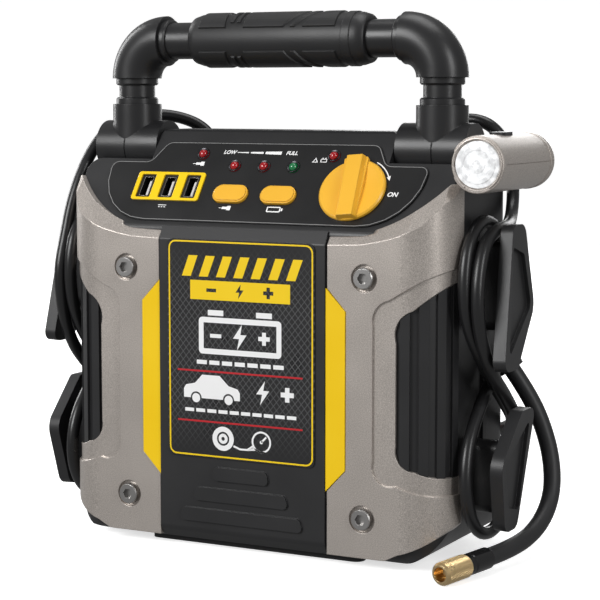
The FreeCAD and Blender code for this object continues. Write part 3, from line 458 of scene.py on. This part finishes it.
# ---------------------------------------------------------------- cords
# Routes in the handle's own frame, in mm, as the CAD source has them.
HANDLE_SHIFT = -12.1
CABLE_DIA = 8.0
HOSE_DIA = 11.0
HEADS = {
    "right": [(74, 50, 241), (80, 52, 254), (91, 53, 265), (105, 54, 269.5), (119, 55, 265.5),
              (128, 57, 254), (132, 58, 239), (134, 55.5, 224), (137, 46, 212), (141, 32, 206),
              (145, 17, 204.5), (147.5, 2, 204.5), (147.5, -13, 202.5)],
    "left": [(74, 50, 241), (81, 53, 253), (91, 53, 263), (105, 48, 269), (119, 38, 271),
             (131, 24, 268), (139, 8, 260), (143, -6, 245), (145, -17, 227), (146.5, -24, 210)],
}
WINDING = [
    (147.5, -28, 194),
    (147.5, -37, 170), (148, -33, 143), (150, -20, 120), (152, 0, 103), (150.5, 21, 87),
    (147.5, 34, 65), (145.5, 31, 38), (144, 9, 18), (142.5, -18, 19), (141, -35, 42),
    (140, -33, 70), (139.2, -15, 92), (139.2, 6, 109), (139.2, 27, 127), (139.2, 37, 151),
    (139.2, 35, 178), (139.2, 17, 203), (139.2, -8, 211), (139.2, -29, 199), (139.2, -37, 176),
    (140, -34, 150), (142.5, -19, 128), (143.5, 1, 110), (142, 20, 98), (139.5, 36, 89),
    (137.5, 49, 81.5), (132.5, 61.5, 74.5), (123, 70.5, 69.5), (112, 74, 65.5), (100, 74, 65.5),
]
HOSE_ROUTE = [
    (137, 49, 112), (147, 52, 97), (156, 54, 78), (163, 53, 56), (167, 44, 35),
    (166, 25, 19), (160, 0, 10.2), (152.6, -28.4, 9.1),
]


def rope(name, route, diameter, material, node, side=1):
    """A smooth cord on its route, in place of the CAD tube."""
    curve = bpy.data.curves.new(name, "CURVE")
    curve.dimensions = "3D"
    curve.bevel_depth = diameter * MM / 2
    curve.bevel_resolution = 6
    curve.resolution_u = 12
    curve.use_fill_caps = True
    spline = curve.splines.new("NURBS")
    spline.points.add(len(route) - 1)
    for point, (x, y, z) in zip(spline.points, route):
        point.co = (side * x * MM, (y + HANDLE_SHIFT) * MM, z * MM, 1)
    spline.order_u = 3
    spline.use_endpoint_u = True
    curve.materials.append(material)
    thing = bpy.data.objects.new(name, curve)
    scene.collection.objects.link(thing)
    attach(thing, "pack")
    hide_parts(node)
    return thing


def cords():
    rubber = paint_black("cable_rubber", 0.012, 0.3, 900.0, 0.012, 0.0002)
    for hand, side in (("right", 1), ("left", -1)):
        line = rope("jumper_lead_" + hand, HEADS[hand] + WINDING, CABLE_DIA, rubber,
                    "jumper_cable_" + hand, side)
    hose_skin = paint_black("hose_rubber", 0.02, 0.46, 1100.0, 0.03, 0.0002)
    hose = rope("air_line", HOSE_ROUTE, HOSE_DIA, hose_skin, "air_hose")


# ---------------------------------------------------------------- places on the object
SLOPE_FOOT = Vector((0, -48.5 + HANDLE_SHIFT, 206.7))
SLOPE_ANGLE = math.radians(54.2)
SLOPE_UP = Vector((0, math.cos(SLOPE_ANGLE), math.sin(SLOPE_ANGLE)))
SLOPE_OUT = Vector((0, -math.sin(SLOPE_ANGLE), math.cos(SLOPE_ANGLE)))
FASCIA_TOP = 1.2
LEDS = {"led_usb": (-46.3, 48.4), "led_low": (-20.8, 39.8), "led_mid": (0.0, 39.8),
        "led_full": (20.8, 39.8), "led_reverse": (46.3, 48.4)}


def on_slope(u=0.0, v=0.0, rise=0.0):
    """A matrix on the control panel: X to the right, Y up the slope, Z outwards."""
    place = SLOPE_FOOT + SLOPE_UP * v + SLOPE_OUT * rise + Vector((u, 0, 0))
    return basis(place, SLOPE_OUT, SLOPE_UP)


def dress(material, *names):
    """Give CAD nodes a material."""
    for name in names:
        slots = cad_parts[name].material_slots
        for one in slots:
            one.material = material
        if not slots:
            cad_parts[name].data.materials.append(material)


def both(pattern):
    return [pattern % hand for hand in ("right", "left")]


def dress_all():
    """Dress every CAD node; return the two materials that the added detail shares."""
    satin = paint_black("moulded_black", 0.017, 0.40, 1500.0, 0.03)
    dress(satin, "front_shell", "rear_shell", "center_panel", *both("cleat_upper_%s"),
          *both("cleat_lower_%s"), "lamp_hub", "outlet_socket", "outlet_cap", "rear_fittings")
    pipe = paint_black("pipe_black", 0.015, 0.34, 1300.0, 0.022)
    dress(pipe, "handle_crossbar", *both("handle_tee_%s"), *both("handle_riser_%s"),
          *both("handle_elbow_%s"), "lamp_button")
    dress(paint_black("ferrule_gloss", 0.010, 0.16, 900.0, 0.004), "hose_ferrule")
    dress(paint_black("fascia_film", 0.008, 0.34, 900.0, 0.01, 0.0003), "control_fascia")
    silver = paint_silver()
    dress(silver, *both("%s_bracket"), "lamp_body")
    yellow = paint_plastic("yellow_plastic", (1.0, 0.63, 0.0))
    dress(yellow, *both("%s_accent"), "usb_bezel")
    amber = paint_plastic("amber_plastic", (0.88, 0.47, 0.035), 0.3, 500.0, 0.02)
    dress(amber, "usb_button", "battery_button", "power_knob")
    dress(paint_label(), "label_plate")
    steel = paint_metal("screw_steel", (0.42, 0.41, 0.40), 0.34)
    dress(steel, *both("bracket_screw_upper_%s"), *both("bracket_screw_lower_%s"),
          *both("clamp_pin_%s"))
    dress(paint_black("socket_black", 0.009, 0.35), "usb_ports")
    for name in LEDS:
        tint = (0.002, 0.17, 0.05) if name == "led_full" else (0.36, 0.001, 0.006)
        dress(paint_led(name + "_epoxy", tint), name)
    brass = paint_metal("brass", (0.78, 0.57, 0.30), 0.3)
    dress(brass, "air_chuck")
    dress(paint_plastic("clamp_red", (0.45, 0.012, 0.01), 0.4), "compressor_switch",
          *["clamp_%s_arm_right" % word for word in ("upper", "lower")])
    dress(paint_black("clamp_black", 0.014, 0.4),
          *["clamp_%s_arm_left" % word for word in ("upper", "lower")])
    dress(paint_black("gauge_case", 0.012, 0.28), "pressure_gauge")
    dress(paint_plastic("needle_red", (0.6, 0.02, 0.01)), "gauge_needle")
    dress(paint_black("battery_case", 0.02, 0.6), "battery")
    dress(paint_metal("cast_metal", (0.5, 0.5, 0.5), 0.5), "compressor")
    dress(paint_black("foot_rubber", 0.02, 0.7, 600.0, 0.06), "foot_front", "foot_rear")
    return silver, brass


# ---------------------------------------------------------------- printed marks
def ink(name, colour, rough=0.4):
    return paint_plastic(name, colour, rough, 900.0, 0.004, 0.0001)


def bolt_loop(u, v, size):
    """A plain lightning bolt, size mm tall, centred at (u, v)."""
    shape = [(0.10, 0.5), (-0.30, -0.06), (-0.03, -0.06), (-0.12, -0.5), (0.30, 0.10), (0.03, 0.10)]
    return [(u + size * a, v + size * b) for a, b in shape]


def plus_loop(u, v, size):
    arm, half = size / 2, size / 6
    shape = [(half, arm), (half, half), (arm, half), (arm, -half), (half, -half), (half, -arm),
             (-half, -arm), (-half, -half), (-arm, -half), (-arm, half), (-half, half),
             (-half, arm)]
    return [(u + a, v + b) for a, b in shape]


def bar_loop(u, v, wide, tall):
    return box_loop((u - wide / 2, v - tall / 2), (u + wide / 2, v + tall / 2))


LABEL_FACE = -57.8 + HANDLE_SHIFT
LABEL_LOW, LABEL_HIGH, LABEL_HALF = 59.0, 195.5, 51.5
LABEL_EDGE = 0.9             # mm of film outside the printed border
LABEL_INK, PANEL_INK = 0.12, 0.08


def car_loop(u, v, wide):
    """The side of a plain car, without its wheels."""
    shape = [(-0.5, 0.0), (-0.5, 0.14), (-0.46, 0.2), (-0.30, 0.235), (-0.17, 0.37), (0.14, 0.37),
             (0.30, 0.22), (0.46, 0.18), (0.5, 0.12), (0.5, 0.0)]
    points = [(u + wide * a, v + wide * b) for a, b in shape]
    for centre in (0.30, -0.28):
        points += arc_points((u + wide * centre, v), wide * 0.10, 0, 180, 12)
    return points


def label_marks():
    """Border, rules and plain pictograms on the front label."""
    at = basis((0, LABEL_FACE, 0), (0, -1, 0))
    gold = ink("print_yellow", (1.0, 0.66, 0.0))
    white = ink("print_white", (0.97, 0.97, 0.97))
    red = ink("print_red", (0.55, 0.012, 0.02))
    low = (-LABEL_HALF + LABEL_EDGE, LABEL_LOW + LABEL_EDGE)
    high = (LABEL_HALF - LABEL_EDGE, LABEL_HIGH - LABEL_EDGE)
    flat_art("label_border", frame_loops(low, high, 5.0, 1.0), at, LABEL_INK, gold)
    banner = []
    for step in range(7):
        left = -41.0 + 12.2 * step
        banner.append([(left, 172.5), (left + 6.4, 172.5), (left + 11.4, 185.5),
                       (left + 5.0, 185.5)])
    banner.append(box_loop((-35.0, 158.2), (35.0, 170.2)))
    banner += [bolt_loop(0, 164.2, 9.4), bar_loop(-20, 164.2, 7, 2.2), plus_loop(20, 164.2, 7)]
    flat_art("label_banner", banner, at, LABEL_INK, gold)
    big = [*frame_loops((-29, 124.5), (29, 147.5), 2.5, 3.4)]
    big += [bar_loop(-17, 150.3, 11, 3.4), bar_loop(17, 150.3, 11, 3.4)]
    big += [bar_loop(-17, 136, 8, 2.4), plus_loop(17, 136, 8)]
    flat_art("label_battery", big, at, LABEL_INK, white)
    flat_art("label_bolt", [bolt_loop(0, 136, 16)], at, LABEL_INK, white)
    rows = [bar_loop(-27 + 9 * step, 119.2, 7.2, 2.6) for step in range(7)]
    rows += [bar_loop(-36 + 8 * step, 88.8, 6.4, 2.2) for step in range(10)]
    flat_art("label_rows", rows, at, LABEL_INK, white)
    car = [car_loop(-20, 96.4, 40.0)]
    car += [arc_points((-20 + 40 * spot, 96.4), 2.9, 0, 360, 24)[:-1] for spot in (0.30, -0.28)]
    car += [bolt_loop(16, 102.6, 15), plus_loop(33, 102.6, 9)]
    flat_art("label_car", car, at, LABEL_INK, white)
    tyre = [*ring_loops((-12, 72), 7.6, 4.4), *ring_loops((-12, 72), 3.2, 1.2)]
    tyre += [line_loop([(-4.6, 68), (0, 66.4), (5, 66.4), (9, 69)], 1.2)]
    tyre += [*ring_loops((15, 72), 6.8, 5.6), line_loop([(15, 72), (18.4, 75.4)], 1.2)]
    tyre += [arc_points((15, 72), 1.1, 0, 360, 16)[:-1]]
    flat_art("label_tyre", tyre, at, LABEL_INK, white)
    rules = [box_loop((-44.5, 113.0), (43.5, 114.1)), box_loop((-44.5, 81.4), (43.5, 82.5))]
    flat_art("label_rules", rules, at, LABEL_INK, red)


FASCIA_CORNERS = [(-112, -1.8, 38), (112, -1.8, 38), (112, 42.3, 5.5), (83.5, 42.3, 6),
                  (75, 57.5, 7), (-75, 57.5, 7), (-83.5, 42.3, 6), (-112, 42.3, 5.5)]
KNOB_CENTRE = (66.3, 23.4)
ARROW_RADIUS = 23.4


CAP_SHARE = 0.7              # height of a capital over the font size


def word(name, text, tall, at, material, lean=0.2):
    """A short generic control word or dial number, as flat print."""
    curve = bpy.data.curves.new(name, "FONT")
    curve.body = text
    curve.size = tall * MM / CAP_SHARE
    curve.shear = lean
    curve.extrude = 0.03 * MM
    curve.offset = 0.00013
    curve.align_x = "CENTER"
    curve.align_y = "CENTER"
    flatten(name, curve, at, 0.04, material, "pack")


def plug_loops(u, v, size):
    """A small plug with its lead: the sign for the charging sockets."""
    a = size / 2
    return [box_loop((u - a, v - 0.28 * a), (u + 0.1 * a, v + 0.28 * a)),
            box_loop((u + 0.1 * a, v - 0.5 * a), (u + 0.95 * a, v + 0.5 * a)),
            box_loop((u - 1.7 * a, v - 0.07 * a), (u - a, v + 0.07 * a))]


def panel_marks():
    """Outline, level bars, pictograms and short words on the control panel."""
    at = on_slope(0, 0, FASCIA_TOP)
    grey = ink("print_grey", (0.26, 0.26, 0.26))
    white = ink("print_panel_white", (0.95, 0.95, 0.95))
    loops = [rounded_loop(FASCIA_CORNERS, 0.5), rounded_loop(FASCIA_CORNERS, 0.92)]
    flat_art("panel_outline", loops, at, PANEL_INK, grey)
    marks = []
    for left, right, low, high in ((-22, -14, 0.5, 0.9), (-12.6, -3.4, 1.1, 1.5),
                                   (-2, 9.4, 1.8, 2.4)):
        marks.append([(left, 50 - low / 2), (right, 50 - high / 2), (right, 50 + high / 2),
                      (left, 50 + low / 2)])
    marks += plug_loops(-46.3, 41.0, 6.2) + plug_loops(-16.8, 8.6, 6.2)
    marks += frame_loops((11.6, 6.6), (21.2, 10.6), 0.9, 0.8) + [bar_loop(22.1, 8.6, 1.1, 1.9)]
    marks += [bar_loop(-63.5, 9.4, 6, 0.5)]
    marks += [bar_loop(-65.5 + 2 * step, 8.0, 1.2, 0.5) for step in range(3)]
    marks += [[(32.4, 43.6), (36.4, 43.6), (34.4, 47.2)],
              [(33.3, 44.1), (35.5, 44.1), (34.4, 46.1)]]
    marks += frame_loops((38.0, 43.7), (42.4, 46.3), 0.5, 0.5)
    marks += [bar_loop(39.2, 46.8, 0.9, 0.7), bar_loop(41.2, 46.8, 0.9, 0.7)]
    marks += [line_loop(arc_points(KNOB_CENTRE, ARROW_RADIUS, 64, 27, 16), 0.7)]
    tip = arc_points(KNOB_CENTRE, ARROW_RADIUS, 28, 20, 1)[1]
    inner, outer = [arc_points(KNOB_CENTRE, radius, 28, 28, 1)[0] for radius in (22.2, 24.8)]
    marks += [[inner, outer, tip]]
    flat_art("panel_marks", marks, at, PANEL_INK, white)
    word("word_on", "ON", 3.0, on_slope(92.8, 21.6, FASCIA_TOP), white)
    word("word_low", "LOW", 2.6, on_slope(-27.6, 50, FASCIA_TOP), white)
    word("word_full", "FULL", 2.6, on_slope(16.6, 50, FASCIA_TOP), white)


# ---------------------------------------------------------------- small detail
def led_rims():
    chrome = paint_metal("led_chrome", (0.06, 0.06, 0.065), 0.28)
    outline = [(4.15, 0.02), (4.15, 0.5), (3.8, 0.75), (3.4, 0.6), (2.95, 0.3), (2.95, 0.02)]
    for name, (u, v) in LEDS.items():
        lathe(name + "_rim", outline, on_slope(u, v, FASCIA_TOP + 0.4), chrome, "pack", 40)


LAMP_AXIS = (149.5, 244.0)
LAMP_FRONT = -43.0 + HANDLE_SHIFT


def lamp_detail(silver):
    """Lit lens with its moulded rings, and the raised beads at both ends of the case."""
    x, z = LAMP_AXIS
    front = basis((x, LAMP_FRONT, z), (0, -1, 0))
    face = [(0, -2.4), (0, 0.5), (2.1, 0.45), (2.5, 0.9), (4.8, 0.8), (5.2, 0.3), (8.2, 0.2),
            (8.7, 0.75), (11.0, 0.6), (11.5, 0.0), (13.6, -0.2), (13.9, -0.7), (13.9, -2.4)]
    glow = lathe("lamp_face", face, front, paint_glow(), "lamp", 64)
    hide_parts("lamp_lens")
    rim = [(14.5, 0.0), (14.5, 0.55), (15.0, 0.8), (15.6, 0.7), (15.9, 0.0)]
    half_ring("lamp_bezel", rim, front, silver, "lamp", -60, 240)
    bead = [(16.6, -78.6), (17.35, -78.4), (17.35, -77.2), (16.6, -77.0)]
    half_ring("lamp_bead", bead, front, silver, "lamp", -118, 118)


def half_ring(name, outline, at, material, body, start, end, steps=72):
    """Sweep a closed (radius, height) outline in mm round part of a turn about Z."""
    made = bmesh.new()
    rings = []
    for step in range(steps + 1):
        turn = math.radians(start + (end - start) * step / steps)
        rings.append([made.verts.new(at @ Vector((radius * MM * math.cos(turn),
                                                  radius * MM * math.sin(turn), height * MM)))
                      for radius, height in outline])
    for low, high in zip(rings, rings[1:]):
        skin(made, low, high)
    made.faces.new(rings[0])
    made.faces.new(list(reversed(rings[-1])))
    return mesh_object(name, made, material, body, True)


GRIP_CENTRE = Vector((0, HANDLE_SHIFT, 318.7))
GRIP_BASE, GRIP_TOP = 16.4, 17.5           # radius of the tube and of its pads
PAD_INSET, PAD_CHAMFER, PAD_ROOT = 2.2, 0.7, 0.3     # degrees, mm and mm


def wrapped_pad(made, ends, leans, start, end, rows=20):
    """A raised pad from angle start to end round the grip; its ends lean by leans at half-way."""
    def point(x, angle, radius):
        turn = math.radians(angle)
        spoke = Vector((x, -radius * math.cos(turn), radius * math.sin(turn)))
        return made.verts.new((GRIP_CENTRE + spoke) * MM)
    span = end - start
    middle = (start + end) / 2
    bands = []
    for row in range(rows + 1):
        share = row / rows
        low = start + span * share
        high = (start + math.copysign(PAD_INSET, span)
                + span * share * (1 - 2 * PAD_INSET / abs(span)))
        climb = 1 - abs(low - middle) / abs(start - middle)
        x0, x1 = [place + lean * climb for place, lean in zip(ends, leans)]
        bands.append([point(x0, low, GRIP_BASE - PAD_ROOT),
                      point(x0 + PAD_CHAMFER, high, GRIP_TOP),
                      point(x1 - PAD_CHAMFER, high, GRIP_TOP),
                      point(x1, low, GRIP_BASE - PAD_ROOT)])
    for low, high in zip(bands, bands[1:]):
        skin(made, low, high)
    made.faces.new(bands[0])
    made.faces.new(list(reversed(bands[-1])))


def grip_detail():
    """The rubber grip: a tube with rows of raised pads whose ends run aslant."""
    rubber = paint_black("grip_rubber", 0.013, 0.46, 800.0, 0.05)
    outline = [(11.8, -62), (14.0, -62), (15.0, -61.2), (GRIP_BASE, -56.5), (GRIP_BASE, 47.6),
               (17.1, 48.0), (17.1, 53.2), (GRIP_BASE, 53.6), (GRIP_BASE, 56.5), (15.0, 61.2),
               (14.0, 62), (11.8, 62)]
    sleeve = lathe("grip_sleeve", outline, basis(GRIP_CENTRE, (1, 0, 0)), rubber, "pack", 64)
    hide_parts("hand_grip")
    made = bmesh.new()
    for side in (1, -1):
        for ends, leans in (((-53.6, -33.4), (0, -3.5)), ((-21.4, 7.9), (0, 13)),
                            ((12.0, 15.6), (13, 13)), ((20.6, 43.7), (13, 0))):
            wrapped_pad(made, ends, leans, side * 25, side * 155)
        for ends in ((-31.4, -28.0), (-26.6, -23.4)):
            wrapped_pad(made, ends, (0, 0), side * 38, side * 142)
    pads = mesh_object("grip_pads", made, rubber, "pack")


KNURL_START, KNURL_LONG = 22.6, 21.6       # mm along the chuck, from the end of the hose
KNURL_RADIUS, KNURL_PROUD, KNURL_INSIDE = 6.84, 0.42, 6.2
KNURL_SIDES, KNURL_ROWS = 144, 72
DIAMONDS_ROUND, DIAMONDS_ALONG = 36, 18


def chuck_detail(brass):
    """The diamond knurl round the brass chuck."""
    end = Vector(HOSE_ROUTE[-1])
    lead = (end - Vector(HOSE_ROUTE[-2])).normalized()
    at = basis(end + lead * KNURL_START + Vector((0, HANDLE_SHIFT, 0)), lead)
    made = bmesh.new()
    rings = []
    for row in range(KNURL_ROWS + 1):
        line = []
        for step in range(KNURL_SIDES):
            across = step * DIAMONDS_ROUND / KNURL_SIDES
            down = row * DIAMONDS_ALONG / KNURL_ROWS
            slopes = [0.5 - abs((turned % 1.0) - 0.5) for turned in (across + down, across - down)]
            proud = 0.0 if row in (0, KNURL_ROWS) else KNURL_PROUD * min(slopes) * 2
            reach = (KNURL_RADIUS + proud) * MM
            turn = 2 * math.pi * step / KNURL_SIDES
            line.append(made.verts.new(at @ Vector((reach * math.cos(turn), reach * math.sin(turn),
                                                    KNURL_LONG * row / KNURL_ROWS * MM))))
        rings.append(line)
    rings += [ring(made, at, KNURL_INSIDE, height, KNURL_SIDES) for height in (KNURL_LONG, 0.0)]
    for low, high in zip(rings, rings[1:] + rings[:1]):
        skin(made, low, high)
    mesh_object("chuck_knurl", made, brass, "pack")


USB_PITCH, USB_MIDDLE, USB_RISE = 16.5, -63.5, 23.2


def socket_detail():
    """Steel liners and pale tongues inside the three USB openings."""
    steel = paint_metal("usb_liner", (0.42, 0.40, 0.39), 0.28)
    pale = paint_plastic("usb_tongue", (0.75, 0.72, 0.70), 0.4)
    for spot, step in enumerate((-1, 0, 1)):
        u = USB_MIDDLE + USB_PITCH * step
        flat_art("usb_liner_%d" % spot, frame_loops((-3.4, -7.2), (3.4, 7.2), 0.5, 0.35),
                 on_slope(u, USB_RISE, FASCIA_TOP - 0.6), 0.62, steel)
        flat_art("usb_tongue_%d" % spot, [bar_loop(1.4, -0.6, 1.5, 10.4)],
                 on_slope(u, USB_RISE, FASCIA_TOP - 1.48), 0.25, pale)


REAR = 62 + HANDLE_SHIFT
GAUGE_HEIGHT = 168
DIAL_START, DIAL_END, DIAL_TICKS = 225, -45, 30      # degrees, degrees and spaces
DIAL_NUMBERS = (("0", 225), ("30", 171), ("60", 117), ("90", 63), ("120", 9), ("150", -45))
DIAL_NUMBER_RADIUS = 12.3
SHELL_SCREWS = ((-112, 30), (112, 30), (-112, 130), (112, 130), (-112, 218), (112, 218))


def rear_detail():
    """Gauge dial and glass, rocker mark and shell screws on the rear."""
    white = ink("dial_white", (0.8, 0.8, 0.8))
    gauge = basis((0, REAR + 0.62, GAUGE_HEIGHT), (0, 1, 0))
    ticks = []
    for step in range(DIAL_TICKS + 1):
        turn = math.radians(DIAL_START + (DIAL_END - DIAL_START) / DIAL_TICKS * step)
        long = step % 5 == 0
        ends = [(radius * math.cos(turn), radius * math.sin(turn))
                for radius in (15.2 if long else 16.6, 18.2)]
        ticks.append(line_loop(ends, 0.7 if long else 0.35))
    ticks.append(line_loop(arc_points((0, 0), 18.5, DIAL_START, DIAL_END, 60), 0.4))
    flat_art("gauge_ticks", ticks, gauge, 0.08, white)
    for number, turn in DIAL_NUMBERS:
        (u, v), _ = arc_points((0, 0), DIAL_NUMBER_RADIUS, turn, turn, 1)
        place = gauge @ Matrix.Translation((u * MM, v * MM, 0))
        word("dial_%s" % number, number, 2.6, place, white, 0.0)
    lathe("gauge_glass", [(0, 3.7), (0, 4.3), (20.2, 4.3), (20.2, 3.7)],
          basis((0, REAR, GAUGE_HEIGHT), (0, 1, 0)), paint_glass("gauge_glass"), "pack", 64)
    rocker = basis((-54, REAR + 2.2, 165), (0, 1, 0))
    flat_art("rocker_mark", [line_loop([(0, -1.8), (0, 1.8)], 0.7)], rocker, 1.0, white, "rocker")
    black = paint_black("screw_black", 0.03, 0.35)
    head = [(0, -1.5), (0, 0.1), (1.4, 0.1), (1.6, 0.7), (2.6, 0.5), (3.0, 0.0), (3.0, -1.5)]
    for spot, (x, z) in enumerate(SHELL_SCREWS):
        place = basis((x, REAR + 0.2, z), (0, 1, 0))
        lathe("shell_screw_%d" % spot, head, place, black, "pack", 32)


make_camera()
make_studio()
cords()
champagne, polished_brass = dress_all()
label_marks()
panel_marks()
led_rims()
lamp_detail(champagne)
grip_detail()
chuck_detail(polished_brass)
socket_detail()
rear_detail()
